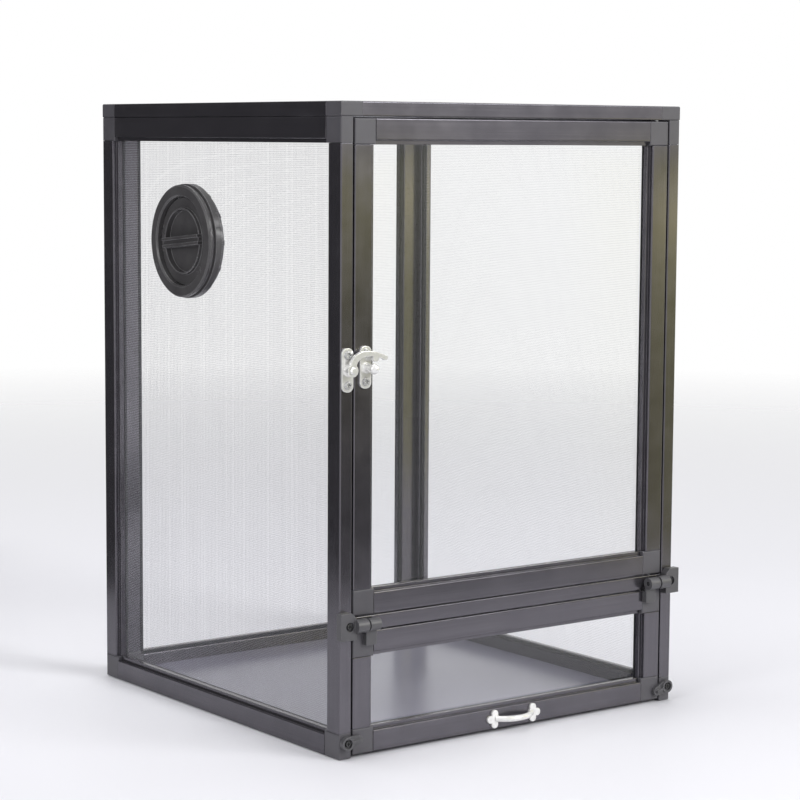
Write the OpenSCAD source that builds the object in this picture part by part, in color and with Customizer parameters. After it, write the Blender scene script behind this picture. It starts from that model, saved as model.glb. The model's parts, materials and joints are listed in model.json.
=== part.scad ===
// Mesh reptile cage made of hollow screen-frame profile with square corner connectors.
// Mesh sides, back and top, a tall hinged front door, a lift-up lower door, a floor board
// and a round feeding port with a screw cap in the left side. Front is -Y, up is +Z.

/* [Cage] */
// Overall width across the side panels
cage_w = 330; // [300:5:420]
// Overall depth from the front face to the back face
cage_d = 340; // [300:5:420]
// Overall height
cage_h = 480; // [440:5:620]

/* [Frame profile] */
// Width of the hollow main part of the profile
main_w = 16; // [15:0.5:20]
// Width of the lip that carries a screen or pane
lip_w = 3; // [3:0.5:5]
// Thickness of the lip
lip_t = 4; // [3:0.5:4.5]
// Thickness of the profile, which is the thickness of each panel
profile_t = 11; // [11:0.5:14]
// Wall of the hollow profile
wall = 1.2; // [1:0.1:1.6]
// Rounding of the long outer edges
edge_r = 1; // [0.6:0.1:1.1]
// Length of the connector legs inside the profile
leg_len = 24; // [20:1:32]

/* [Screens] */
// Thickness of the mesh sheet
screen_t = 0.8; // [0.6:0.1:1]
// Width of the bars that stand in for the wires
net_bar = 2.4; // [1.5:0.1:3]
// Gaps across a side screen
side_count_x = 9; // [6:1:9]
// Gaps up a side or back screen
side_count_z = 12; // [8:1:12]
// Gaps across the back screen
back_count_x = 8; // [6:1:8]
// Gaps each way in the top screen
top_count = 9; // [6:1:9]
// Thickness of the spline strips behind a screen
spline_t = 2; // [1.5:0.1:2.4]

/* [Doors] */
// Height of the underside of the mid rail between the doors
mid_z = 94; // [80:1:140]
// Gap at each side of a door
door_gap = 1.2; // [1:0.1:2]
// Gap between the upper door and the rail above it
door_top_gap = 1; // [0.7:0.1:1.5]
// Gap between a door and the mid rail
door_rail_gap = 0.7; // [0.6:0.1:1.2]
// Height of the lower edge of the lower door above the table
door_foot = 2; // [1.8:0.1:4]
// Thickness of the clear panes
pane_t = 2; // [1.5:0.1:2.4]
// Thickness of the glazing beads
bead_t = 1.4; // [1:0.1:1.5]
// Radius of the upper door's pivot pins
pivot_r = 1.5; // [1.2:0.1:1.6]
// Distance from the door's edge to its pivot pins
pivot_in = 9.5; // [9:0.5:12]
// Distance of the pivot pins behind the door's face
pivot_back = 3.7; // [3.5:0.1:4]
// Length of a pivot pin inside the door, and inside the rail
pivot_len = 7; // [5:0.5:8]

/* [Lower door hinges] */
// Distance of the hinge axis in front of the front face
hinge_out = 6; // [6:0.1:8]
// Radius of the bracket's barrel
barrel_r = 5.2; // [4.6:0.1:5.4]
// Radius of the leaf's barrel
leaf_r = 4.8; // [4.2:0.1:5.2]
// Radius of the hinge pins
hinge_pin_r = 2; // [1.5:0.1:2.4]
// Height of the bracket blocks
bracket_h = 20; // [16:1:24]
// Thickness of the bracket blocks
bracket_t = 6; // [5:0.5:8]
// How far a bracket block stands out past the cage's side
bracket_over = 2.5; // [0:0.5:6]
// Chamfer on the upper inner corner of a bracket block
bracket_chamfer = 4; // [2:0.5:5]
// Length of the bracket's barrel beyond the block
bracket_barrel = 10; // [8:1:18]
// Width of the groove between the two barrels
groove_w = 1.2; // [0.8:0.1:2]
// Depth of the groove between the two barrels
groove_in = 1.4; // [0.8:0.1:2]
// Length of the leaf's barrel
leaf_barrel = 9.5; // [8:0.5:12]
// Height of the leaf on the door's face
leaf_h = 8.5; // [8:0.5:14]
// Thickness of the leaf
leaf_t = 4.4; // [3:0.2:4.4]

/* [Latch] */
// Distance of the latch arm's pivot below the cage's top
latch_from_top = 193; // [150:1:280]
// Width of the latch base plate
latch_w = 10; // [9:0.5:11]
// Height of the latch base plate
latch_h = 32; // [28:1:40]
// Thickness of the latch plates
plate_t = 1.6; // [1.2:0.1:2]
// Height of the boss under the arm
boss_h = 2.1; // [2:0.1:3]
// Radius of the round root of the arm
root_r = 4.6; // [4:0.1:5]
// Thickness of the arm
arm_t = 3; // [2.5:0.1:4]
// Width of the arm at its root
arm_root_w = 5.5; // [4.5:0.1:6]
// Width of the arm at its tip
arm_tip_w = 3; // [1.6:0.1:3.4]
// Reach of the arm to the right of its pivot
arm_reach = 29; // [26:1:32]
// Rise of the arm's arch above its pivot
arm_rise = 14; // [13:0.5:17]
// Radius of the arm's tooth behind the stud
tooth_r = 2.6; // [2:0.1:2.8]
// Radius of the rivet
rivet_r = 1.5; // [1.2:0.1:2]
// Width of the strike plate
strike_w = 10; // [9:0.5:11]
// Height of the strike plate
strike_h = 31; // [28:1:36]
// Distance from the arm's pivot to the stud's foot
stud_x = 16.5; // [16:0.5:17]
// Height of the stud's foot above the arm's pivot
stud_rise = 2; // [1.5:0.5:2.5]
// How far the stud leans to the right
stud_lean = 2.5; // [1:0.5:3]
// How far the stud leans down
stud_drop = 1.5; // [1:0.5:2]
// How far the stud's foot is right of the strike plate's middle
stud_side = 1.5; // [0:0.5:2]
// Radius of the stud's ball
ball_r = 4; // [3.4:0.1:4]
// Gap between the strike plate and the stud's ball
ball_gap = 0.5; // [0.2:0.1:1]

/* [Turn buttons] */
// Height of the turn buttons' screws
button_z = 12; // [12:0.5:14]
// Reach from the screw to the tip
button_reach = 14; // [12:0.5:14.5]
// Width of a turn button at its tip
button_tip_w = 7; // [5:0.5:8]
// Thickness of a turn button's arm
button_t = 2.8; // [2.5:0.1:3.4]
// Thickness of a turn button around its screw
button_boss = 4.2; // [3.8:0.1:5]
// Width of the finger rib
rib_w = 2; // [1.5:0.1:3]
// Height of the finger rib
rib_h = 1.6; // [1:0.1:2]
// Angle of the left button above level
button_left_tilt = 8; // [-10:1:20]
// Angle of the right button below level
button_right_tilt = 17; // [0:1:18]

/* [Feeding port] */
// Distance of the port's centre from the cage's rear face
port_from_rear = 126; // [100:1:150]
// Distance of the port's centre below the cage's top
port_from_top = 108; // [100:1:180]
// Outer radius of the flange
flange_r = 45; // [42:0.5:48]
// How far the flange stands out from the panel's face
port_reach = 3.5; // [2:0.5:6]
// Radius of the recess for the cap
recess_r = 35; // [34:0.5:36]
// Radius of the bore through the collar
collar_bore_r = 33; // [32:0.5:33]
// Outer radius of the collar
collar_r = 38; // [37.5:0.1:38.5]
// Gap between the collar and the edge of the screen's hole
collar_clear = 0.5; // [0.3:0.1:1]
// Width of plain screen left round the flange
patch_w = 1; // [0.5:0.1:3]
// Depth of the groove round the flange's rim
rim_groove = 2.4; // [1:0.1:3]
// How far the collar runs behind the screen
collar_len = 5.5; // [5:0.5:14]
// Thickness of the lock ring behind the screen
lock_t = 3.4; // [3:0.1:4]
// Width of the lock ring
lock_w = 3; // [2.5:0.1:6]
// Thickness of the cap's disc
cap_t = 4; // [3:0.5:5]
// Length of the cap's skirt
skirt_len = 7.6; // [6:0.1:7.8]
// Wall of the cap's skirt
skirt_wall = 2.5; // [2:0.1:3]
// Outer radius of the raised ring on the cap
ring_r = 26.5; // [24:0.5:28]
// Height of the raised ring on the cap
ring_h = 2.5; // [1.5:0.1:3]
// Width of the raised ring on the cap
ring_w = 2.2; // [1.8:0.1:4]
// Depth of the pocket inside the raised ring
pocket_depth = 1.8; // [0.6:0.1:2]
// Width of the grip bar across the cap
grip_w = 8; // [6:0.5:10]
// How far the grip bar's ridges stand out past the flange
grip_rise = 0.3; // [0:0.1:0.5]
// Turn of the closed cap's grip bar from level
grip_turn = 5.5; // [-20:0.5:20]
// Thickness of the cap's seal
seal_t = 1.2; // [1:0.1:1.4]

/* [Handle] */
// Distance between the centres of the handle's end plates
handle_span = 38; // [34:1:50]
// Radius of the lobes of an end plate
lobe_r = 3; // [2.6:0.1:3]
// Distance of a lobe from the end plate's centre
lobe_out = 4.2; // [3.6:0.1:4.4]
// Thickness of the end plates
handle_plate_t = 1.8; // [1.4:0.1:2.4]
// Depth of the bow
bow_depth = 8; // [7:0.1:8]
// Radius of the bow's round bar
bow_r = 2.3; // [1.8:0.1:2.5]
// How far the bow's ends lie inside the span
bow_inset = 3; // [2:0.1:4]

/* [Floor] */
// Thickness of the floor board
board_t = 3; // [2:0.5:5]
// Width of the ledge strips under the board
ledge_w = 8; // [6:1:12]
// Thickness of the ledge strips
ledge_t = 2; // [1.5:0.5:3]
// Height of the underside of the ledge strips
ledge_z = 1; // [1:0.5:3]

/* [Fixings] */
// Radius of a screw's shank
screw_r = 1.5; // [1.2:0.1:1.6]
// Radius of a screw's head
head_r = 3.2; // [2.8:0.1:3.4]
// Height of a screw's head
head_h = 1.6; // [1.2:0.1:1.8]
// Radius of the head of a sunk screw
small_head_r = 2.5; // [2.2:0.1:2.8]
// Radius of the recess round a sunk screw's head
sink_r = 3.6; // [3.3:0.1:3.8]
// Depth of the recess round a sunk screw's head
sink_depth = 2.2; // [2:0.1:2.4]
// Length of the short screws
screw_len = 8; // [6:0.5:9]
// Radius of the dowels and pegs
dowel_r = 2; // [1.5:0.1:2.2]
// Length of a dowel in each panel
dowel_len = 7; // [5:0.5:8]

/* [Clearances] */
// Gap at the joint between profile and connector
joint_gap = 0.1; // [0.1:0.05:0.4]
// Gap around a connector leg inside the profile
leg_clear = 0.15; // [0.1:0.05:0.3]
// Gap between a screen or pane and the main profile
seat_clear = 0.3; // [0.2:0.05:0.4]
// Gap around screws, dowels and pegs
fix_clear = 0.1; // [0.05:0.05:0.2]
// Running gap around pivot pins
run_clear = 0.05; // [0.02:0.01:0.1]
// Gap between pieces that move past each other
move_clear = 0.3; // [0.3:0.05:0.5]
// Gap around the floor board
board_clear = 0.5; // [0.4:0.1:1]

/* [Hidden] */
$fn = 48;

profile_w = main_w + lip_w;
lip_v = (profile_t - lip_t) / 2;
seat_v = lip_v + lip_t;
seat_u = main_w + seat_clear;
strip_w = lip_w - 2 * seat_clear;
joint_at = profile_w + joint_gap;
front_y = -cage_d / 2;
side_x = cage_w / 2;
inner_x = side_x - profile_t;
edge_x = side_x - profile_t / 2;
side_h = cage_h - profile_t;
back_w = 2 * inner_x;
door_w = back_w - 2 * door_gap;
rail_top = mid_z + profile_t;
upper_z = rail_top + door_rail_gap;
upper_h = side_h - door_top_gap - upper_z;
lower_h = mid_z - door_rail_gap - door_foot;
pivot_x = door_w / 2 - pivot_in;
pivot_y = front_y + pivot_back;
hinge_z = mid_z + profile_t / 2;
hinge_y = front_y - hinge_out;
barrel_end = inner_x - bracket_barrel;
leaf_top = mid_z - door_rail_gap - edge_r;
leaf_screw_x = barrel_end - move_clear - leaf_barrel * 0.28;
latch_x = -edge_x + 1;
latch_z = cage_h - latch_from_top;
strike_x = latch_x + stud_x - stud_side;
ball_out = plate_t + ball_r + ball_gap;
bow_ends = handle_span - bow_inset;
bow_radius = (bow_ends * bow_ends / 4 + bow_depth * bow_depth) / (2 * bow_depth);
bow_angle = asin(bow_ends / 2 / bow_radius);
handle_z = door_foot + main_w / 2;
handle_reach = handle_plate_t / 2 + bow_depth + bow_r;
left_reach = max(port_reach + grip_rise, bracket_over);
front_reach = max(handle_reach, hinge_out + barrel_r, ball_out + ball_r);
port_y = cage_d / 2 - port_from_rear;
port_z = cage_h - port_from_top;
flange_t = port_reach + seat_v;
shoulder_h = 0.7;
past = 1;
cap_h = shoulder_h + seal_t + 2 * move_clear;
cap_r = recess_r - move_clear;
skirt_r = collar_bore_r - 0.5;
frame_color = [0.25, 0.25, 0.26];
corner_color = [0.42, 0.42, 0.43];
mesh_color = [0.8, 0.8, 0.83];
rubber_color = [0.12, 0.12, 0.12];
clear_color = [0.8, 0.88, 0.9, 0.35];
metal_color = [0.85, 0.85, 0.86];
plastic_color = [0.2, 0.2, 0.22];
board_color = [0.56, 0.55, 0.6];

// Shifts the cage so that the origin is under the middle of its whole outline
module placed() translate([(left_reach - bracket_over) / 2, front_reach / 2, 0]) children();

// Shared shapes
module rounded_rect(w, h, r) {
  translate([r, 0]) square([w - 2 * r, h]);
  translate([0, r]) square([w, h - 2 * r]);
  for (x = [r, w - r], y = [r, h - r])
    translate([x, y]) circle(r);
}

module swap_xz() mirror([1, 0, -1]) children();

module along_x() rotate([90, 0, 90]) children();

module toward_front() rotate([90, 0, 0]) children();

module both_sides(w) {
  children();
  translate([w, 0, 0]) mirror([1, 0, 0]) children();
}

module both_ends(h) {
  children();
  translate([0, 0, h]) mirror([0, 0, 1]) children();
}

module mirror_pair() {
  children();
  mirror([1, 0, 0]) children();
}

module screw(length, r = head_r) {
  slot_l = 1.1 * r;
  slot_w = 0.3 * r;
  difference() {
    union() {
      cylinder(h = head_h, r1 = r, r2 = r * 0.8);
      translate([0, 0, -length]) cylinder(h = length + head_h / 3, r = screw_r);
    }
    for (a = [0, 90])
      rotate(a) translate([-slot_l / 2, -slot_w / 2, head_h * 0.4]) cube([slot_l, slot_w, head_h]);
  }
}

module screw_hole(length) translate([0, 0, -length]) cylinder(h = length + past, r = screw_r + fix_clear);

// Panel pieces: width along X, height along Z, outer face at Y = 0, thickness along +Y
module member(length) {
  linear_extrude(length)
    difference() {
      union() {
        rounded_rect(main_w, profile_t, edge_r);
        translate([main_w - wall, lip_v]) square([wall + lip_w, lip_t]);
      }
      translate([wall, wall]) square([main_w - 2 * wall, profile_t - 2 * wall]);
    }
}

module frame_stiles(w, h) both_sides(w) translate([0, 0, joint_at]) member(h - 2 * joint_at);

module frame_rails(w, h) both_ends(h) swap_xz() translate([0, 0, joint_at]) member(w - 2 * joint_at);

module corner_leg() {
  inset = wall + leg_clear;
  translate([inset, inset, profile_w - past])
    cube([main_w - 2 * inset, profile_t - 2 * inset, leg_len + past]);
}

module corner() {
  difference() {
    intersection() {
      linear_extrude(profile_w) rounded_rect(profile_w, profile_t, edge_r);
      swap_xz() linear_extrude(profile_w) rounded_rect(profile_w, profile_t, edge_r);
    }
    translate([main_w, seat_v, main_w]) cube([lip_w + past, profile_t, lip_w + past]);
  }
  corner_leg();
  swap_xz() corner_leg();
}

module frame_corners(w, h) both_sides(w) both_ends(h) corner();

module net_gaps(w, h, nx, nz) {
  gap_x = (w - 2 * profile_w - (nx - 1) * net_bar) / nx;
  gap_z = (h - 2 * profile_w - (nz - 1) * net_bar) / nz;
  for (i = [0 : nx - 1], j = [0 : nz - 1])
    translate([profile_w + i * (gap_x + net_bar), profile_w + j * (gap_z + net_bar)])
      square([gap_x, gap_z]);
}

module sheet_outline(w, h) translate([seat_u, seat_u]) square([w - 2 * seat_u, h - 2 * seat_u]);

module screen(w, h, nx, nz) {
  translate([0, seat_v + screen_t, 0]) toward_front() linear_extrude(screen_t)
    difference() {
      sheet_outline(w, h);
      net_gaps(w, h, nx, nz);
    }
}

module pane(w, h) {
  translate([0, seat_v + pane_t, 0]) toward_front() linear_extrude(pane_t) sheet_outline(w, h);
}

module strips(w, h, v, t) {
  both_sides(w) translate([seat_u, v, seat_u]) cube([strip_w, t, h - 2 * seat_u]);
  both_ends(h) translate([seat_u + strip_w + leg_clear, v, seat_u])
    cube([w - 2 * (seat_u + strip_w + leg_clear), t, strip_w]);
}

// Where each panel stands
module left_place() placed() translate([-side_x, cage_d / 2, 0]) rotate([0, 0, -90]) children();

module right_place() placed() translate([side_x, front_y, 0]) rotate([0, 0, 90]) children();

module back_place() placed() translate([inner_x, cage_d / 2, 0]) rotate([0, 0, 180]) children();

module top_place() placed() translate([-side_x, front_y, cage_h]) rotate([-90, 0, 0]) children();

module upper_place() placed() translate([-door_w / 2, front_y, upper_z]) children();

module lower_place() placed() translate([-door_w / 2, front_y, door_foot]) children();

// Where fixings stand, in the cage's own place
module front_at(x, z) placed() translate([x, front_y, z]) toward_front() children();

module hinge_screw_places() for (s = [-1, 1]) front_at(s * edge_x, hinge_z) children();

module button_screw_places() for (s = [-1, 1]) front_at(s * edge_x, button_z) children();

module latch_screw_places() {
  for (s = [-1, 1])
    front_at(-edge_x, latch_z + s * (latch_h / 2 - latch_w / 2)) children();
}

module strike_screw_places() {
  for (s = [-1, 1])
    front_at(strike_x, latch_z + 1.5 + s * (strike_h / 2 - strike_w / 2)) children();
}

module leaf_screw_places() {
  for (s = [-1, 1])
    placed() translate([s * leaf_screw_x, front_y + profile_t, leaf_top - leaf_h * 0.6])
      rotate([-90, 0, 0]) children();
}

module handle_screw_places() {
  for (s = [-1, 1])
    placed() translate([s * handle_span / 2, front_y + profile_t, handle_z]) rotate([-90, 0, 0]) children();
}

module top_screw_places() {
  for (x = [-1, 1], y = [-1, 1])
    placed() translate([x * edge_x, y * (cage_d / 2 - profile_w / 2), cage_h - head_h]) children();
}

module dowel_places() {
  for (s = [-1, 1], z = [profile_w * 0.7, side_h - profile_w * 0.7])
    placed() translate([s * inner_x, cage_d / 2 - profile_t / 2, z]) rotate([0, 90, 0]) children();
}

module peg_places() {
  for (s = [-1, 1])
    placed() translate([s * inner_x, front_y + main_w / 2, hinge_z]) rotate([0, s * 90, 0]) children();
}

module pivot_at(z) {
  placed() translate([pivot_x, pivot_y, z])
    cylinder(h = 2 * pivot_len, r = pivot_r, center = true);
}

module pivot_hole_at(z) {
  placed() translate([pivot_x, pivot_y, z])
    cylinder(h = 2 * pivot_len + past, r = pivot_r + run_clear, center = true);
}

module pivot_holes() {
  pivot_hole_at(upper_z - door_rail_gap / 2);
  pivot_hole_at(side_h - door_top_gap / 2);
}

module dowel_holes() {
  dowel_places() cylinder(h = 2 * dowel_len + past, r = dowel_r + fix_clear, center = true);
}

module peg_holes() {
  peg_places() translate([0, 0, -past]) cylinder(h = dowel_len + 2 * past, r = dowel_r + fix_clear);
}

module port_place() {
  placed() translate([-side_x + seat_v, port_y, port_z]) rotate([0, -90, 0]) children();
}

// Left panel
module left_panel_stiles() {
  color(frame_color)
    difference() {
      left_place() frame_stiles(cage_d, side_h);
      hinge_screw_places() screw_hole(screw_len);
      latch_screw_places() screw_hole(screw_len);
      peg_holes();
    }
}

module left_panel_rails() color(frame_color) left_place() frame_rails(cage_d, side_h);

module left_panel_corners() {
  color(corner_color)
    difference() {
      left_place() frame_corners(cage_d, side_h);
      button_screw_places() screw_hole(screw_len + past);
      top_screw_places() screw_hole(2 * screw_len + past);
      dowel_holes();
    }
}

module left_panel_screen() {
  color(mesh_color)
    left_place() translate([0, seat_v + screen_t, 0]) toward_front() linear_extrude(screen_t)
      difference() {
        sheet_outline(cage_d, side_h);
        difference() {
          net_gaps(cage_d, side_h, side_count_x, side_count_z);
          translate([port_from_rear, port_z]) circle(flange_r + patch_w);
        }
        translate([port_from_rear, port_z]) circle(collar_r + collar_clear);
      }
}

module left_panel_spline() {
  color(rubber_color) left_place() strips(cage_d, side_h, seat_v + screen_t, spline_t);
}

// Right panel
module right_panel_stiles() {
  color(frame_color)
    difference() {
      right_place() frame_stiles(cage_d, side_h);
      hinge_screw_places() screw_hole(screw_len);
      peg_holes();
    }
}

module right_panel_rails() color(frame_color) right_place() frame_rails(cage_d, side_h);

module right_panel_corners() {
  color(corner_color)
    difference() {
      right_place() frame_corners(cage_d, side_h);
      button_screw_places() screw_hole(screw_len + past);
      top_screw_places() screw_hole(2 * screw_len + past);
      dowel_holes();
    }
}

module right_panel_screen() {
  color(mesh_color) right_place() screen(cage_d, side_h, side_count_x, side_count_z);
}

module right_panel_spline() {
  color(rubber_color) right_place() strips(cage_d, side_h, seat_v + screen_t, spline_t);
}

// Back panel
module back_panel_stiles() color(frame_color) back_place() frame_stiles(back_w, side_h);

module back_panel_rails() color(frame_color) back_place() frame_rails(back_w, side_h);

module back_panel_corners() {
  color(corner_color)
    difference() {
      back_place() frame_corners(back_w, side_h);
      dowel_holes();
    }
}

module back_panel_screen() {
  color(mesh_color) back_place() screen(back_w, side_h, back_count_x, side_count_z);
}

module back_panel_spline() {
  color(rubber_color) back_place() strips(back_w, side_h, seat_v + screen_t, spline_t);
}

module panel_dowels() {
  color(metal_color) dowel_places() cylinder(h = 2 * dowel_len, r = dowel_r, center = true);
}

// Top panel
module top_panel_stiles() color(frame_color) top_place() frame_stiles(cage_w, cage_d);

module top_panel_rails() {
  color(frame_color)
    difference() {
      top_place() frame_rails(cage_w, cage_d);
      pivot_holes();
    }
}

module top_panel_corners() {
  color(corner_color)
    difference() {
      top_place() frame_corners(cage_w, cage_d);
      pivot_holes();
      top_screw_places() screw_hole(2 * screw_len + past);
      top_screw_places() translate([0, 0, -fix_clear]) cylinder(h = head_h + past, r = head_r + fix_clear);
    }
}

module top_panel_screen() color(mesh_color) top_place() screen(cage_w, cage_d, top_count, top_count);

module top_panel_spline() {
  color(rubber_color) top_place() strips(cage_w, cage_d, seat_v + screen_t, spline_t);
}

module top_panel_screws() color(metal_color) top_screw_places() screw(2 * screw_len);

// Mid rail between the doors
module mid_rail() {
  color(frame_color)
    difference() {
      placed() translate([-inner_x + joint_gap, front_y, mid_z]) along_x()
        linear_extrude(2 * inner_x - 2 * joint_gap)
          difference() {
            rounded_rect(main_w, profile_t, edge_r);
            translate([wall, wall]) square([main_w - 2 * wall, profile_t - 2 * wall]);
          }
      pivot_holes();
    }
}

module mid_rail_plugs() {
  inset = wall + leg_clear;
  color(corner_color)
    difference() {
      union() {
        placed() mirror_pair() translate([inner_x - leg_len, front_y + inset, mid_z + inset])
          cube([leg_len - joint_gap, main_w - 2 * inset, profile_t - 2 * inset]);
        peg_places() translate([0, 0, -past]) cylinder(h = dowel_len, r = dowel_r);
      }
      pivot_holes();
    }
}

// Floor
module base_board() {
  color(board_color)
    placed() translate([-inner_x + board_clear, front_y + profile_t + 1, ledge_z + ledge_t])
      cube([2 * inner_x - 2 * board_clear, cage_d - 2 * profile_t - 1 - board_clear, board_t]);
}

module base_ledges() {
  color(corner_color)
    placed() {
      mirror_pair() translate([inner_x - ledge_w, front_y + profile_w, ledge_z])
        cube([ledge_w, cage_d - 2 * profile_w, ledge_t]);
      translate([-inner_x + profile_w, cage_d / 2 - profile_t - ledge_w, ledge_z])
        cube([2 * inner_x - 2 * profile_w, ledge_w, ledge_t]);
    }
}

// Upper door
module upper_door_stiles() {
  color(frame_color)
    difference() {
      upper_place() frame_stiles(door_w, upper_h);
      strike_screw_places() screw_hole(screw_len);
    }
}

module upper_door_rails() color(frame_color) upper_place() frame_rails(door_w, upper_h);

module upper_door_corners() {
  color(corner_color)
    difference() {
      upper_place() frame_corners(door_w, upper_h);
      pivot_holes();
    }
}

module upper_door_pane() color(clear_color) upper_place() pane(door_w, upper_h);

module upper_door_bead() color(rubber_color) upper_place() strips(door_w, upper_h, seat_v + pane_t, bead_t);

module upper_door_pivots() {
  color(metal_color) {
    pivot_at(upper_z - door_rail_gap / 2);
    pivot_at(side_h - door_top_gap / 2);
  }
}

// Lower door
module lower_door_stiles() color(frame_color) lower_place() frame_stiles(door_w, lower_h);

module lower_door_rails() {
  color(frame_color)
    difference() {
      lower_place() frame_rails(door_w, lower_h);
      handle_screw_places() screw_hole(profile_t + past);
    }
}

module lower_door_corners() {
  color(corner_color)
    difference() {
      lower_place() frame_corners(door_w, lower_h);
      leaf_screw_places() screw_hole(profile_t + past);
    }
}

module lower_door_pane() color(clear_color) lower_place() pane(door_w, lower_h);

module lower_door_bead() color(rubber_color) lower_place() strips(door_w, lower_h, seat_v + pane_t, bead_t);

// Lower door hinges
module hinge_brackets() {
  bottom = hinge_z - bracket_h / 2;
  top = hinge_z + bracket_h / 2;
  outer_x = side_x + bracket_over;
  color(plastic_color)
    difference() {
      placed() mirror_pair() {
        translate([0, front_y, 0]) toward_front() linear_extrude(bracket_t)
          polygon([[inner_x, bottom], [outer_x, bottom], [outer_x, top],
            [inner_x + bracket_chamfer, top], [inner_x, top - bracket_chamfer]]);
        translate([barrel_end, hinge_y, hinge_z]) rotate([0, 90, 0])
          cylinder(h = bracket_barrel + past, r = barrel_r - groove_in);
        translate([barrel_end + groove_w, hinge_y, hinge_z]) rotate([0, 90, 0])
          cylinder(h = bracket_barrel - groove_w + past, r = barrel_r);
      }
      placed() mirror_pair() translate([barrel_end - past, hinge_y, hinge_z]) rotate([0, 90, 0])
        cylinder(h = bracket_barrel + past, r = hinge_pin_r + run_clear);
      hinge_screw_places() translate([0, 0, bracket_t]) screw_hole(bracket_t + past);
      hinge_screw_places() translate([0, 0, bracket_t - sink_depth])
        cylinder(h = sink_depth + past, r = sink_r);
    }
}

module hinge_bracket_screws() {
  under = bracket_t - sink_depth;
  color(metal_color)
    hinge_screw_places() translate([0, 0, under]) screw(under + screw_len / 2, small_head_r);
}

module hinge_leaves() {
  leaf_end = barrel_end - move_clear;
  leaf_web = 3;
  color(plastic_color)
    difference() {
      placed() mirror_pair() {
        translate([leaf_end - leaf_barrel, front_y - leaf_t, leaf_top - leaf_h])
          cube([leaf_barrel, leaf_t, leaf_h]);
        translate([leaf_end - leaf_barrel, front_y - leaf_t, leaf_top - leaf_web])
          cube([leaf_barrel, leaf_t / 2, hinge_z - leaf_top + leaf_web]);
        translate([leaf_end - leaf_barrel, hinge_y, hinge_z]) rotate([0, 90, 0])
          cylinder(h = leaf_barrel, r = leaf_r);
      }
      placed() mirror_pair() translate([leaf_end - leaf_barrel - past, hinge_y, hinge_z]) rotate([0, 90, 0])
        cylinder(h = leaf_barrel + 2 * past, r = hinge_pin_r + run_clear);
      leaf_screw_places() screw_hole(profile_t + leaf_t - 0.6);
    }
}

module hinge_leaf_screws() color(metal_color) leaf_screw_places() screw(profile_t + leaf_t - 0.8);

module hinge_pins() {
  pin_len = bracket_barrel + move_clear + leaf_barrel - 0.5;
  color(metal_color)
    placed() mirror_pair() translate([inner_x - pin_len, hinge_y, hinge_z]) rotate([0, 90, 0])
      cylinder(h = pin_len - 0.5, r = hinge_pin_r);
}

// Latch
module plate_outline(w, h) {
  translate([-w / 2, -h / 2]) rounded_rect(w, h, w / 2 - 0.5);
}

module latch_base() {
  color(metal_color)
    difference() {
      union() {
        front_at(-edge_x, latch_z) linear_extrude(plate_t) plate_outline(latch_w, latch_h);
        front_at(latch_x, latch_z) cylinder(h = plate_t + boss_h, r = root_r);
      }
      front_at(latch_x, latch_z) translate([0, 0, -past])
        cylinder(h = plate_t + boss_h + 2 * past, r = rivet_r + run_clear);
      latch_screw_places() translate([0, 0, plate_t]) screw_hole(plate_t + past);
    }
}

module latch_base_screws() {
  color(metal_color) latch_screw_places() translate([0, 0, plate_t]) screw(screw_len);
}

function arm_x(t) = 3 * (1 - t) * t * t * arm_reach * 0.55 + t * t * t * arm_reach;
function arm_z(t) = 3 * (1 - t) * t * arm_rise + t * t * t * arm_rise * 0.59;
function arm_dx(t) = arm_x(t + 0.01) - arm_x(t - 0.01);
function arm_dz(t) = arm_z(t + 0.01) - arm_z(t - 0.01);
function arm_w(t) = arm_root_w + (arm_tip_w - arm_root_w) * t;
function arm_half(t, s) = s * arm_w(t) / 2 / norm([arm_dx(t), arm_dz(t)]);
function arm_side(t, s) = [arm_x(t) - arm_half(t, s) * arm_dz(t), arm_z(t) + arm_half(t, s) * arm_dx(t)];

module latch_arm() {
  steps = 18;
  color(metal_color)
    front_at(latch_x, latch_z) translate([0, 0, plate_t + boss_h + move_clear])
      difference() {
        union() {
          cylinder(h = arm_t, r = root_r);
          linear_extrude(arm_t)
            polygon(concat([for (i = [0 : steps]) arm_side(i / steps, 1)],
              [for (i = [steps : -1 : 0]) arm_side(i / steps, -1)]));
          translate([arm_reach, arm_rise * 0.59, 0]) cylinder(h = arm_t, r = arm_tip_w / 2 + 0.4);
          translate([arm_reach * 0.707, arm_rise * 0.59, 0]) cylinder(h = arm_t, r = tooth_r);
        }
        translate([0, 0, -past]) cylinder(h = arm_t + 2 * past, r = rivet_r + run_clear);
      }
}

module latch_rivet() {
  tall = plate_t + boss_h + arm_t + 2 * move_clear;
  color(metal_color)
    front_at(latch_x, latch_z) {
      translate([0, 0, 0.2]) cylinder(h = tall, r = rivet_r);
      translate([0, 0, tall]) cylinder(h = 1.3, r1 = rivet_r + 1.5, r2 = rivet_r + 0.6);
    }
}

module latch_strike() {
  color(metal_color)
    difference() {
      union() {
        front_at(strike_x, latch_z + 1.5) linear_extrude(plate_t) plate_outline(strike_w, strike_h);
        front_at(latch_x + stud_x, latch_z + stud_rise) {
          intersection() {
            rotate([0, atan2(norm([stud_lean, stud_drop]), ball_out), atan2(-stud_drop, stud_lean)])
              cylinder(h = ball_out, r = ball_r * 0.55);
            translate([0, 0, plate_t / 2]) cylinder(h = ball_out, r = 2 * ball_r);
          }
          translate([stud_lean, -stud_drop, ball_out]) sphere(ball_r);
        }
      }
      strike_screw_places() translate([0, 0, plate_t]) screw_hole(plate_t + past);
    }
}

module latch_strike_screws() {
  color(metal_color) strike_screw_places() translate([0, 0, plate_t]) screw(screw_len);
}

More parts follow.
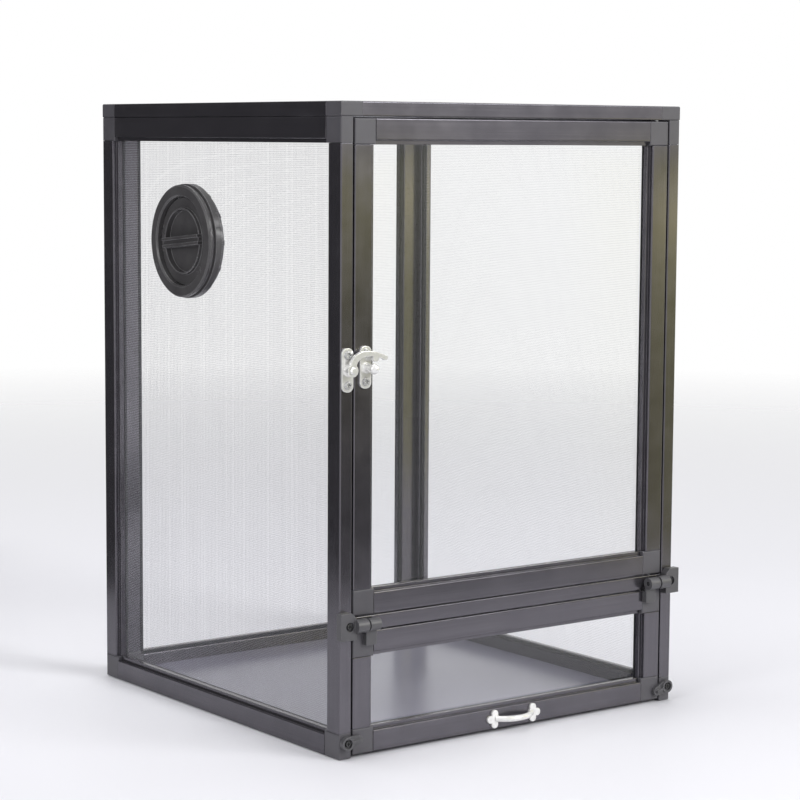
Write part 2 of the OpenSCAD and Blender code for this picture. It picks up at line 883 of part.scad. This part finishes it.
// Turn buttons
module turn_button(tilt) {
  root = profile_t / 2 - 0.4;
  tip = button_tip_w / 2;
  tip_x = button_reach - tip;
  taper = asin((root - tip) / tip_x);
  translate([0, 0, move_clear]) rotate(tilt)
    difference() {
      union() {
        cylinder(h = button_boss, r = root);
        translate([tip_x, 0, 0]) cylinder(h = button_t, r = tip);
        linear_extrude(button_t)
          polygon([[root * sin(taper), root * cos(taper)], [root * sin(taper), -root * cos(taper)],
            [tip_x + tip * sin(taper), -tip * cos(taper)], [tip_x + tip * sin(taper), tip * cos(taper)]]);
        translate([sink_r + rib_w / 2, -rib_w / 2, button_t / 2])
          cube([tip_x - sink_r, rib_w, button_t / 2 + rib_h]);
      }
      translate([0, 0, -past]) cylinder(h = button_boss + 2 * past, r = screw_r + run_clear);
      translate([0, 0, button_boss - sink_depth]) cylinder(h = sink_depth + past, r = sink_r);
    }
}

module left_turn_button() color(plastic_color) front_at(-edge_x, button_z) turn_button(button_left_tilt);

module right_turn_button() {
  color(plastic_color) front_at(edge_x, button_z) turn_button(180 + button_right_tilt);
}

module turn_button_screws() {
  under = button_boss - sink_depth;
  color(metal_color)
    button_screw_places() translate([0, 0, under + 2 * move_clear]) screw(screw_len + under, small_head_r);
}

// Handle
module handle_end() {
  linear_extrude(handle_plate_t) {
    circle(lobe_out);
    for (a = [90, 180, 270])
      rotate(a) translate([lobe_out, 0]) circle(lobe_r);
  }
}

module pull_handle() {
  color(metal_color)
    difference() {
      union() {
        for (s = [0, 1])
          front_at((2 * s - 1) * handle_span / 2, handle_z) mirror([s, 0, 0]) handle_end();
        intersection() {
          placed() translate([0, front_y - handle_plate_t / 2 - bow_depth + bow_radius, handle_z])
            rotate([0, 0, 270 - bow_angle]) rotate_extrude(angle = 2 * bow_angle)
              translate([bow_radius, 0]) circle(bow_r);
          placed() translate([-handle_span, front_y - 2 * bow_depth, 0])
            cube([2 * handle_span, 2 * bow_depth, 2 * handle_z]);
        }
      }
      handle_screw_places() screw_hole(profile_t + handle_plate_t - 0.2);
    }
}

module pull_handle_screws() {
  color(metal_color) handle_screw_places() screw(profile_t + handle_plate_t - 0.4);
}

// Feeding port: axis along Z here, outward is +Z, the screen's outer face is at Z = 0
module port_flange() {
  plate_r = flange_r - 0.8;
  mouth = 1.2;
  color(plastic_color)
    port_place() rotate_extrude()
      polygon([[collar_bore_r, -collar_len], [collar_r, -collar_len], [collar_r, 0], [flange_r, 0],
        [flange_r, flange_t * 0.48], [flange_r - rim_groove, flange_t * 0.54],
        [flange_r - rim_groove, flange_t * 0.64], [plate_r, flange_t * 0.7], [plate_r, flange_t - mouth],
        [plate_r - mouth, flange_t], [recess_r + mouth, flange_t], [recess_r, flange_t - mouth],
        [recess_r, shoulder_h], [collar_bore_r, shoulder_h]]);
}

module port_lock_ring() {
  lug = 4;
  lug_out = 0.8;
  color(plastic_color)
    port_place() translate([0, 0, -screen_t - lock_t])
      difference() {
        union() {
          cylinder(h = lock_t, r = collar_r + lock_w);
          for (a = [0 : 30 : 330])
            rotate(a) translate([collar_r + lock_w / 2, -lug / 2, 0])
              cube([lock_w / 2 + lug_out, lug, lock_t]);
        }
        translate([0, 0, -past]) cylinder(h = lock_t + 2 * past, r = collar_r + fix_clear);
      }
}

module port_cap() {
  face = cap_h + cap_t;
  bevel = 0.6;
  ring_in = ring_r - ring_w;
  pocket = face - pocket_depth;
  ridge_w = grip_w * 0.3;
  bar_h = flange_t + grip_rise - face;
  color(plastic_color)
    port_place() {
      rotate_extrude()
        polygon([[0, cap_h], [skirt_r - skirt_wall, cap_h], [skirt_r - skirt_wall, cap_h - skirt_len],
          [skirt_r, cap_h - skirt_len], [skirt_r, cap_h], [cap_r, cap_h], [cap_r, face - bevel],
          [cap_r - bevel, face], [ring_r, face], [ring_r - bevel, face + ring_h],
          [ring_in + bevel, face + ring_h], [ring_in, pocket], [0, pocket]]);
      rotate(grip_turn) {
        translate([-grip_w / 2, -ring_r + bevel, cap_h + bevel])
          cube([grip_w, 2 * (ring_r - bevel), cap_t - bevel + bar_h * 0.7]);
        for (x = [-grip_w / 2, grip_w / 2 - ridge_w])
          translate([x, -ring_r, cap_h + bevel]) cube([ridge_w, 2 * ring_r, cap_t - bevel + bar_h]);
      }
    }
}

module port_seal() {
  color(rubber_color)
    port_place() translate([0, 0, shoulder_h + move_clear])
      difference() {
        cylinder(h = seal_t, r = cap_r);
        translate([0, 0, -past]) cylinder(h = seal_t + 2 * past, r = skirt_r + move_clear);
      }
}

left_panel_stiles();
left_panel_rails();
left_panel_corners();
left_panel_screen();
left_panel_spline();
right_panel_stiles();
right_panel_rails();
right_panel_corners();
right_panel_screen();
right_panel_spline();
back_panel_stiles();
back_panel_rails();
back_panel_corners();
back_panel_screen();
back_panel_spline();
top_panel_stiles();
top_panel_rails();
top_panel_corners();
top_panel_screen();
top_panel_spline();
top_panel_screws();
panel_dowels();
mid_rail();
mid_rail_plugs();
base_board();
base_ledges();
upper_door_stiles();
upper_door_rails();
upper_door_corners();
upper_door_pane();
upper_door_bead();
upper_door_pivots();
lower_door_stiles();
lower_door_rails();
lower_door_corners();
lower_door_pane();
lower_door_bead();
hinge_brackets();
hinge_bracket_screws();
hinge_leaves();
hinge_leaf_screws();
hinge_pins();
latch_base();
latch_base_screws();
latch_arm();
latch_rivet();
latch_strike();
latch_strike_screws();
left_turn_button();
right_turn_button();
turn_button_screws();
pull_handle();
pull_handle_screws();
port_flange();
port_lock_ring();
port_cap();
port_seal();
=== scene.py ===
# Looks of the mesh reptile cage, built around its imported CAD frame
import json
import math

import bpy
from mathutils import Matrix, Vector


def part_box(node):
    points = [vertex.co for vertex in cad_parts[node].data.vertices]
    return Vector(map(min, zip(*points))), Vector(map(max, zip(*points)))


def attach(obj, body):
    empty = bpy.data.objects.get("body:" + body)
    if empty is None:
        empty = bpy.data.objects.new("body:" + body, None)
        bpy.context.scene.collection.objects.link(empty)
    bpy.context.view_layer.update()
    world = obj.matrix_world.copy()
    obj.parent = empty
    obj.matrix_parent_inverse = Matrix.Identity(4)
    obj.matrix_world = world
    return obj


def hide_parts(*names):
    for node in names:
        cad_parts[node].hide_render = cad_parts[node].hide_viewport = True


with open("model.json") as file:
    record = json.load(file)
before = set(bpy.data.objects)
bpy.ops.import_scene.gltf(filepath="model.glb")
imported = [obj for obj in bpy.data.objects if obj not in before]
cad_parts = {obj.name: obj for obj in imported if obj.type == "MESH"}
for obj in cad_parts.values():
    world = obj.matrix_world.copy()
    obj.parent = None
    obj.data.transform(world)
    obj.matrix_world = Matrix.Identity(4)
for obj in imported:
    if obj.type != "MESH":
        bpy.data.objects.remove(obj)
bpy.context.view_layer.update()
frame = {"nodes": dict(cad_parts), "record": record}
nodes = frame["nodes"]
scene = bpy.context.scene
scene.view_settings.view_transform = "Standard"

# Wire screens: spacing, half width and the hole round the port, in metres
WIRE_PITCH = 0.0014
WIRE_HALF = 0.000053125
PORT_HOLE = 0.0386
# How far the two layers of wire stand apart, as a share of the half width
LAYER_OFFSET = 0.9

# Softness of edges in the shading, in metres
PROFILE_EDGE = 0.0005
METAL_EDGE = 0.0008
PORT_EDGE = 0.0009
EDGE_SAMPLES = 6

# Depth of the grain, in metres
FINE_GRAIN = 0.0002
RUBBER_GRAIN = 0.0003
METAL_GRAIN = 0.0004

# The part of a noise's range that is used
USUAL_SPAN = (0.3, 0.7)
WIDE_SPAN = (0.2, 0.8)

# Pale edges, part wear and part painted highlight: how far the soft and flat normals agree where the paling
# begins and is full, and its patches
WEAR_AND_HIGHLIGHT_TURN = (0.985, 0.86)
WEAR_AND_HIGHLIGHT_PATCHES = (0.3, 0.6)
LEAST_WEAR_AND_HIGHLIGHT = 0.3

# Sockets of the colour mix node
MIX_FIRST, MIX_SECOND, MIX_RESULT = 6, 7, 2


# Node helpers
def new_material(name):
    mat = bpy.data.materials.new(name)
    mat.use_nodes = True
    tree = mat.node_tree
    tree.nodes.clear()
    out = tree.nodes.new("ShaderNodeOutputMaterial")
    return mat, tree, out


def add(tree, kind, **values):
    """A new node with the given numbers and colours on its sockets."""
    node = tree.nodes.new(kind)
    for key, value in values.items():
        node.inputs[key.replace("_", " ")].default_value = value
    return node


def principled(tree, out, **values):
    node = add(tree, "ShaderNodeBsdfPrincipled", **values)
    tree.links.new(node.outputs[0], out.inputs["Surface"])
    return node


def mix_shaders(tree, out, factor, first, second):
    """The first shader where factor is 0, the second where it is 1."""
    mix = tree.nodes.new("ShaderNodeMixShader")
    tree.links.new(factor, mix.inputs[0])
    tree.links.new(first.outputs[0], mix.inputs[1])
    tree.links.new(second.outputs[0], mix.inputs[2])
    tree.links.new(mix.outputs[0], out.inputs["Surface"])
    return mix


def coords(tree, scale=(1, 1, 1)):
    texture = tree.nodes.new("ShaderNodeTexCoord")
    mapping = add(tree, "ShaderNodeMapping", Scale=scale)
    tree.links.new(texture.outputs["Object"], mapping.inputs["Vector"])
    return mapping.outputs["Vector"]


def noise(tree, vector, scale, detail, rough):
    node = add(tree, "ShaderNodeTexNoise", Scale=scale, Detail=detail, Roughness=rough)
    tree.links.new(vector, node.inputs["Vector"])
    return node.outputs["Fac"]


def remap(tree, value, low, high, to_low=0.0, to_high=1.0):
    node = add(tree, "ShaderNodeMapRange", From_Min=low, From_Max=high, To_Min=to_low, To_Max=to_high)
    tree.links.new(value, node.inputs["Value"])
    return node.outputs["Result"]


def combine(tree, operation, first, second):
    """One step of arithmetic on two sockets or numbers."""
    node = tree.nodes.new("ShaderNodeMath")
    node.operation = operation
    for socket, value in zip(node.inputs, (first, second)):
        if isinstance(value, float):
            socket.default_value = value
        else:
            tree.links.new(value, socket)
    return node.outputs[0]


def distance(tree, value, middle=0.0):
    """How far a value lies from a middle, on either side."""
    return combine(tree, "ABSOLUTE", combine(tree, "SUBTRACT", value, middle), 0.0)


def two_colours(tree, factor, first, second):
    node = tree.nodes.new("ShaderNodeMix")
    node.data_type = "RGBA"
    node.inputs[MIX_FIRST].default_value = (*first, 1)
    node.inputs[MIX_SECOND].default_value = (*second, 1)
    tree.links.new(factor, node.inputs[0])
    return node.outputs[MIX_RESULT]


def colour_of(tree, shader, factor, dark, light, span=USUAL_SPAN):
    tint = remap(tree, factor, *span)
    tree.links.new(two_colours(tree, tint, dark, light), shader.inputs["Base Color"])


def roughness_of(tree, shader, factor, low, high, span=USUAL_SPAN):
    tree.links.new(remap(tree, factor, *span, low, high), shader.inputs["Roughness"])


def surface(tree, shader, height, strength, depth=FINE_GRAIN, edge=PROFILE_EDGE):
    """Bump over a normal that softens the sharp CAD edges, so that they catch light."""
    soft = add(tree, "ShaderNodeBevel", Radius=edge)
    soft.samples = EDGE_SAMPLES
    bump = add(tree, "ShaderNodeBump", Strength=strength, Distance=depth)
    tree.links.new(height, bump.inputs["Height"])
    tree.links.new(soft.outputs["Normal"], bump.inputs["Normal"])
    tree.links.new(bump.outputs["Normal"], shader.inputs["Normal"])
    return soft.outputs["Normal"]


def worn_and_highlit_edges(tree, shader, soft, patches, amount, pale):
    """Paler colour along the edges, part wear and part painted highlight, where the softened normal leaves
    the flat one, in broken stretches.
    """
    flat = tree.nodes.new("ShaderNodeNewGeometry")
    turn = tree.nodes.new("ShaderNodeVectorMath")
    turn.operation = "DOT_PRODUCT"
    tree.links.new(soft, turn.inputs[0])
    tree.links.new(flat.outputs["Normal"], turn.inputs[1])
    edges = remap(tree, turn.outputs["Value"], *WEAR_AND_HIGHLIGHT_TURN)
    stretches = remap(tree, patches, *WEAR_AND_HIGHLIGHT_PATCHES, LEAST_WEAR_AND_HIGHLIGHT * amount, amount)
    broken = combine(tree, "MULTIPLY", edges, stretches)
    base = shader.inputs["Base Color"].links[0].from_socket
    worn_and_highlit = two_colours(tree, broken, pale, pale)
    tree.links.new(base, worn_and_highlit.node.inputs[MIX_FIRST])
    tree.links.new(worn_and_highlit, shader.inputs["Base Color"])


# Materials
def satin_metal(name, stretch):
    """Dark anodised profile with faint drawing lines along the member and small handling marks."""
    mat, tree, out = new_material(name)
    shader = principled(tree, out, Metallic=0.8, Specular_IOR_Level=0.4)
    lines = noise(tree, coords(tree, stretch), scale=1.0, detail=3.0, rough=0.6)
    marks = noise(tree, coords(tree), scale=38.0, detail=6.0, rough=0.65)
    mixed = combine(tree, "MULTIPLY", lines, marks)
    dark, light = (0.106, 0.101, 0.114), (0.142, 0.135, 0.152)
    colour_of(tree, shader, mixed, dark, light, span=(0.12, 0.42))
    roughness_of(tree, shader, marks, low=0.17, high=0.26)
    soft = surface(tree, shader, lines, strength=0.06)
    # Pale edges: part wear, bare metal on the rims, and part painted highlight
    worn_and_highlit_edges(tree, shader, soft, marks, amount=0.45, pale=(0.3, 0.295, 0.31))
    return mat


def moulded(name, dark, light, rough, edge=PROFILE_EDGE, wear_and_highlight=0.6):
    """Moulded plastic with a fine spark-eroded grain."""
    mat, tree, out = new_material(name)
    shader = principled(tree, out, Specular_IOR_Level=0.5)
    fine = noise(tree, coords(tree), scale=900.0, detail=3.0, rough=0.6)
    broad = noise(tree, coords(tree), scale=30.0, detail=5.0, rough=0.6)
    colour_of(tree, shader, broad, dark, light)
    roughness_of(tree, shader, broad, low=rough - 0.06, high=rough + 0.08)
    soft = surface(tree, shader, fine, strength=0.1, edge=edge)
    # Pale edges: part wear and part painted highlight along the rims
    worn_and_highlit_edges(tree, shader, soft, broad, amount=wear_and_highlight, pale=(0.26, 0.255, 0.265))
    return mat


def bright_metal(name, colour, rough):
    """Cast metal under a thin milky plating, slightly wavy, with dull patches."""
    mat, tree, out = new_material(name)
    shader = principled(tree, out, Metallic=0.45)
    wave = noise(tree, coords(tree), scale=160.0, detail=3.0, rough=0.5)
    dull = noise(tree, coords(tree), scale=420.0, detail=5.0, rough=0.65)
    dulled = tuple(channel * 0.8 for channel in colour)
    colour_of(tree, shader, dull, colour, dulled, span=(0.35, 0.7))
    roughness_of(tree, shader, dull, low=rough - 0.05, high=rough + 0.1)
    surface(tree, shader, wave, strength=0.16, depth=METAL_GRAIN, edge=METAL_EDGE)
    return mat


def clear_pane(name):
    """Clear acrylic that lets lamp light through."""
    mat, tree, out = new_material(name)
    shader = principled(tree, out, Base_Color=(0.99, 0.995, 0.995, 1), Transmission_Weight=1.0, IOR=1.4)
    haze = noise(tree, coords(tree), scale=500.0, detail=3.0, rough=0.6)
    roughness_of(tree, shader, haze, low=0.0, high=0.012, span=WIDE_SPAN)
    clear = add(tree, "ShaderNodeBsdfTransparent", Color=(0.97, 0.975, 0.975, 1))
    path = tree.nodes.new("ShaderNodeLightPath")
    mix_shaders(tree, out, path.outputs["Is Shadow Ray"], shader, clear)
    return mat


def rubber(name):
    """Matt black spline."""
    mat, tree, out = new_material(name)
    shader = principled(tree, out, Specular_IOR_Level=0.3)
    ribs = noise(tree, coords(tree), scale=600.0, detail=2.0, rough=0.5)
    colour_of(tree, shader, ribs, dark=(0.02, 0.02, 0.021), light=(0.035, 0.035, 0.037))
    roughness_of(tree, shader, ribs, low=0.6, high=0.8)
    surface(tree, shader, ribs, strength=0.2, depth=RUBBER_GRAIN)
    return mat


def board_sheet(name):
    """Semi-gloss grey board with a fine grain and a faint cloudiness."""
    mat, tree, out = new_material(name)
    shader = principled(tree, out, Specular_IOR_Level=0.5)
    grain = noise(tree, coords(tree), scale=1400.0, detail=2.0, rough=0.7)
    cloud = noise(tree, coords(tree), scale=6.0, detail=3.0, rough=0.45)
    colour_of(tree, shader, cloud, dark=(0.128, 0.125, 0.166), light=(0.16, 0.155, 0.2), span=WIDE_SPAN)
    roughness_of(tree, shader, cloud, low=0.2, high=0.27)
    surface(tree, shader, grain, strength=0.025)
    return mat


def wire_metal(name):
    """Grey coated wire."""
    mat, tree, out = new_material(name)
    shader = principled(tree, out, Specular_IOR_Level=0.4)
    vary = noise(tree, coords(tree), scale=25.0, detail=4.0, rough=0.6)
    colour_of(tree, shader, vary, dark=(0.26, 0.26, 0.29), light=(0.33, 0.33, 0.36))
    roughness_of(tree, shader, vary, low=0.4, high=0.52)
    return mat


# Drawing lines per metre, along a member and across it
ALONG, ACROSS = 6.0, 900.0
frame_x = satin_metal("frame_along_x", (ALONG, ACROSS, ACROSS))
frame_y = satin_metal("frame_along_y", (ACROSS, ALONG, ACROSS))
frame_z = satin_metal("frame_along_z", (ACROSS, ACROSS, ALONG))
connector = moulded("connector_plastic", (0.07, 0.067, 0.075), (0.089, 0.086, 0.096), rough=0.42)
dark_plastic = moulded("dark_plastic", (0.066, 0.065, 0.07), (0.09, 0.088, 0.094), rough=0.4)
# The port's full pale edges are painted highlight on its rims, with some wear
port_plastic = moulded("port_plastic", (0.052, 0.05, 0.052), (0.082, 0.079, 0.081), rough=0.22,
                       edge=PORT_EDGE, wear_and_highlight=1.0)
chrome = bright_metal("bright_metal", (0.93, 0.927, 0.905), rough=0.14)
steel = bright_metal("screw_steel", (0.5, 0.5, 0.5), rough=0.24)
black_steel = bright_metal("black_screw", (0.06, 0.06, 0.062), rough=0.2)
pane = clear_pane("clear_pane")
spline = rubber("spline_rubber")
board = board_sheet("floor_board")
wire = wire_metal("mesh_wire")

along_y = {"left_panel_rails", "right_panel_rails", "top_panel_stiles"}
blackened = {"hinge_bracket_screws", "hinge_leaf_screws", "hinge_pins", "turn_button_screws"}
by_slot = {"connector": connector, "spline": spline, "pane": pane, "board": board, "bright_metal": chrome,
           "steel": steel, "mesh": wire}


def material_of(node, slot):
    """Profile by its member's direction, glossier plastic for the port, black screws on dark fittings."""
    if slot == "dark_plastic":
        return port_plastic if node.startswith("port_") else dark_plastic
    if node in blackened:
        return black_steel
    if slot != "frame":
        return by_slot[slot]
    if node in along_y:
        return frame_y
    return frame_z if node.endswith("_stiles") else frame_x


def dress(obj, mat):
    obj.data.materials.clear()
    obj.data.materials.append(mat)


for part in frame["record"]["subparts"]:
    dress(nodes[part["node"]], material_of(part["node"], part["material_slot"]))


# Fine wire screens in place of the CAD nets
def wire_bars(segments, along, across, depth, level):
    """Square wires set on edge. Each segment has a start and an end along the wire, and a place across."""
    verts, faces = [], []
    outline = ((-WIRE_HALF, 0), (0, -WIRE_HALF), (WIRE_HALF, 0), (0, WIRE_HALF))
    for start, end, place in segments:
        base = len(verts)
        for position in (start, end):
            for sideways, inward in outline:
                point = [0.0, 0.0, 0.0]
                point[along] = position
                point[across] = place + sideways
                point[depth] = level + inward
                verts.append(point)
        for corner in range(4):
            following = (corner + 1) % 4
            faces.append((base + corner, base + following, base + 4 + following, base + 4 + corner))
        faces.append((base + 3, base + 2, base + 1, base))
        faces.append((base + 4, base + 5, base + 6, base + 7))
    return verts, faces


def runs(start, end, place, hole, along, across):
    """The stretches of one wire from start to end that stay outside the port's hole."""
    if hole is None or abs(place - hole[across]) >= PORT_HOLE:
        return [(start, end, place)]
    half = math.sqrt(PORT_HOLE ** 2 - (place - hole[across]) ** 2)
    return [(start, hole[along] - half, place), (hole[along] + half, end, place)]


def wire_screen(name, node, depth, hole=None):
    """Two crossing layers of wire over the net's sheet. depth is the axis through the sheet."""
    low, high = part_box(node)
    one_way, other_way = [axis for axis in range(3) if axis != depth]
    middle = (low[depth] + high[depth]) / 2
    verts, faces = [], []
    for along, across, side in ((one_way, other_way, -1), (other_way, one_way, 1)):
        count = int((high[across] - low[across]) / WIRE_PITCH)
        first = (low[across] + high[across] - (count - 1) * WIRE_PITCH) / 2
        segments = []
        for index in range(count):
            segments += runs(low[along], high[along], first + index * WIRE_PITCH, hole, along, across)
        level = middle + side * WIRE_HALF * LAYER_OFFSET
        layer_verts, layer_faces = wire_bars(segments, along, across, depth, level)
        base = len(verts)
        verts += layer_verts
        faces += [tuple(base + corner for corner in face) for face in layer_faces]
    mesh = bpy.data.meshes.new(name)
    mesh.from_pydata(verts, [], faces)
    mesh.update()
    obj = bpy.data.objects.new(name, mesh)
    scene.collection.objects.link(obj)
    dress(obj, wire)
    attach(obj, "cage")
    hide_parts(node)


ring_low, ring_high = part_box("port_lock_ring")
port_centre = (ring_low + ring_high) / 2
wire_screen("left_wire_screen", "left_panel_screen", 0, port_centre)
wire_screen("right_wire_screen", "right_panel_screen", 0)
wire_screen("back_wire_screen", "back_panel_screen", 1)
wire_screen("top_wire_screen", "top_panel_screen", 2)

# Camera at the photograph's angle: focal length and image width in pixels, sensor in mm, far clip in m
LENS_PX, IMAGE_PX, SENSOR = 2356.0, 800.0, 36.0
FAR_CLIP = 50
right = Vector((0.80051, -0.599287, 0.00627))
down = Vector((-0.061167, -0.092104, -0.993869))
ahead = Vector((0.596191, 0.795218, -0.110387))
eye = Vector((-1.142118, -1.540389, 0.453535))
camera = bpy.data.objects.new("camera", bpy.data.cameras.new("camera"))
scene.collection.objects.link(camera)
axes = Matrix((right, -down, -ahead)).transposed()
camera.matrix_world = Matrix.Translation(eye) @ axes.to_4x4()
camera.data.sensor_width = SENSOR
camera.data.lens = SENSOR * LENS_PX / IMAGE_PX
camera.data.clip_end = FAR_CLIP
scene.camera = camera

# Stage: half width of the floor, its drop under the cage and the ring in which it fades out, in metres
FLOOR_HALF = 3.0
FLOOR_DROP = 0.0005
FLOOR_FADE = (0.6, 2.8)


def square(name, half):
    """A flat square, centred and facing up."""
    mesh = bpy.data.meshes.new(name)
    corners = [(-half, -half, 0), (half, -half, 0), (half, half, 0), (-half, half, 0)]
    mesh.from_pydata(corners, [], [(0, 1, 2, 3)])
    obj = bpy.data.objects.new(name, mesh)
    scene.collection.objects.link(obj)
    return obj


def floor_material():
    """Pale floor that fades out into the background."""
    mat, tree, out = new_material("stage_floor")
    shader = principled(tree, out, Base_Color=(0.79, 0.785, 0.82, 1), Roughness=0.6)
    clear = tree.nodes.new("ShaderNodeBsdfTransparent")
    texture = tree.nodes.new("ShaderNodeTexCoord")
    length = tree.nodes.new("ShaderNodeVectorMath")
    length.operation = "LENGTH"
    tree.links.new(texture.outputs["Object"], length.inputs[0])
    mix_shaders(tree, out, remap(tree, length.outputs["Value"], *FLOOR_FADE), shader, clear)
    return mat


floor = square("stage_floor", FLOOR_HALF)
floor.location.z = -FLOOR_DROP
dress(floor, floor_material())

# White background where it is seen, and a dimmer sky that lights the cage
world = bpy.data.worlds.new("studio")
scene.world = world
world.use_nodes = True
sky = world.node_tree
sky.nodes.clear()
sky_out = sky.nodes.new("ShaderNodeOutputWorld")
seen_white = add(sky, "ShaderNodeBackground", Color=(1.0, 1.0, 1.0, 1), Strength=1.0)
sky_light = add(sky, "ShaderNodeBackground", Color=(0.96, 0.97, 1.0, 1), Strength=0.42)
ray = sky.nodes.new("ShaderNodeLightPath").outputs
direct_or_glossy = combine(sky, "MAXIMUM", ray["Is Camera Ray"], ray["Is Glossy Ray"])
seen = combine(sky, "MAXIMUM", direct_or_glossy, ray["Is Transmission Ray"])
mix_shaders(sky, sky_out, seen, sky_light, seen_white)


# Soft lamps
def aim(obj, place, target):
    """Sets an object down so that it looks at the target."""
    obj.location = place
    heading = Vector(target) - Vector(place)
    obj.rotation_euler = heading.to_track_quat("-Z", "Y").to_euler()


def lamp(name, place, target, size, watts):
    data = bpy.data.lights.new(name, "AREA")
    data.shape = "DISK"
    data.size = size
    data.energy = watts
    obj = bpy.data.objects.new(name, data)
    aim(obj, place, target)
    scene.collection.objects.link(obj)


lamp("key_lamp", (1.3, -2.6, 1.7), (0, 0, 0.24), size=1.8, watts=62)
lamp("top_lamp", (-0.2, 0.2, 2.3), (0, 0, 0.2), size=1.6, watts=26)
lamp("left_lamp", (-2.6, -0.6, 1.2), (0, 0, 0.24), size=1.2, watts=18)

# Boards that only show in reflections. Places on a board run from -1 to 1, from left to right and upwards
SOFT_RIM = (0.65, 1.0)
SIDE_FADE = (0.75, 1.0)
RISE_FADE, RISE_POWER = (-0.73, 0.75), 2.5
LIFT_FADE, LIFT_SHARE = (-0.35, 0.45), 0.7
RIGHT_FADE, RIGHT_SHARE = (0.2, 0.42), 0.4
TOP_FADE = (0.82, 0.93)
PLAIN_MIDDLE, PLAIN_FADE = -0.22, (0.12, 0.24)
GLOW_HEIGHT, GLOW_FADE, GLOW_POWER = 0.6, (0.0, 0.26), 2.0
GLOW_START, GLOW_END, GLOW_STRENGTH = (0.09, 0.16), (0.7, 1.0), 3.0
# The front board doesn't show in surfaces nearer than this, such as open doors, in metres
NEAR_FADE = (0.4, 0.46)


def stage_card(name, place, target, wide, tall):
    """A flat board out of the picture. Gives its material's nodes and the places across and upward on it."""
    obj = square(name, 1)
    obj.scale = (wide / 2, tall / 2, 1)
    aim(obj, place, target)
    obj.visible_camera = False
    obj.visible_diffuse = False
    obj.visible_transmission = False
    obj.visible_shadow = False
    mat, tree, out = new_material(name)
    dress(obj, mat)
    texture = tree.nodes.new("ShaderNodeTexCoord")
    places = tree.nodes.new("ShaderNodeSeparateXYZ")
    tree.links.new(texture.outputs["Object"], places.inputs[0])
    return tree, out, places.outputs["X"], places.outputs["Y"]


def dark_to_clear(tree, out, fade):
    """Dark where fade is 0 and clear where it is 1."""
    dark = principled(tree, out, Base_Color=(0.02, 0.02, 0.021, 1), Roughness=0.9)
    clear = tree.nodes.new("ShaderNodeBsdfTransparent")
    mix = mix_shaders(tree, out, fade, dark, clear)
    return clear, mix


def dark_card(name, place, target, wide, tall):
    """A dark board with soft edges."""
    tree, out, across, upward = stage_card(name, place, target, wide, tall)
    from_centre = combine(tree, "MAXIMUM", distance(tree, across), distance(tree, upward))
    dark_to_clear(tree, out, remap(tree, from_centre, *SOFT_RIM))


def shaded_card(name, place, target, wide, tall, tint, glow):
    """A board that is dark at its foot, and clears upwards and to the right to a tinted gauze.

    A soft warm light at its right shows in the right-hand posts. The middle has no tint.
    """
    tree, out, across, upward = stage_card(name, place, target, wide, tall)
    path = tree.nodes.new("ShaderNodeLightPath")
    near = remap(tree, path.outputs["Ray Length"], *NEAR_FADE, 1, 0)
    edge = combine(tree, "ADD", remap(tree, distance(tree, across), *SIDE_FADE), near)
    rise = combine(tree, "POWER", remap(tree, upward, *RISE_FADE), RISE_POWER)
    to_right = remap(tree, across, *RIGHT_FADE, 0, RIGHT_SHARE)
    lift = combine(tree, "ADD", remap(tree, across, *LIFT_FADE, 0, LIFT_SHARE), to_right)
    fade = combine(tree, "ADD", edge, combine(tree, "ADD", rise, lift))
    clear, mix = dark_to_clear(tree, out, fade)

    plain = remap(tree, distance(tree, across, PLAIN_MIDDLE), *PLAIN_FADE, 1, 0)
    untinted = combine(tree, "MAXIMUM", combine(tree, "ADD", edge, plain), remap(tree, upward, *TOP_FADE))
    tree.links.new(two_colours(tree, untinted, tint, (1, 1, 1)), clear.inputs["Color"])

    from_band = distance(tree, upward, GLOW_HEIGHT)
    band = combine(tree, "POWER", remap(tree, from_band, *GLOW_FADE, 1, 0), GLOW_POWER)
    start = remap(tree, across, *GLOW_START, 0, GLOW_STRENGTH)
    reach = combine(tree, "MULTIPLY", start, remap(tree, across, *GLOW_END, 1, 0))
    away = combine(tree, "SUBTRACT", 1.0, near)
    strength = combine(tree, "MULTIPLY", away, combine(tree, "MULTIPLY", band, reach))
    light = add(tree, "ShaderNodeEmission", Color=(*glow, 1))
    tree.links.new(strength, light.inputs["Strength"])
    both = tree.nodes.new("ShaderNodeAddShader")
    tree.links.new(mix.outputs[0], both.inputs[0])
    tree.links.new(light.outputs[0], both.inputs[1])
    tree.links.new(both.outputs[0], out.inputs["Surface"])


dark_card("left_card", (-0.43, 0.44, 0.4), (0.117, -0.29, 0.4), wide=1.4, tall=1.5)
shaded_card("front_card", (0.45, -0.558, 0.2425), (0.45, 0, 0.2425), wide=1.2, tall=0.445,
            tint=(1.0, 0.96, 0.34), glow=(1.0, 0.9, 0.62))
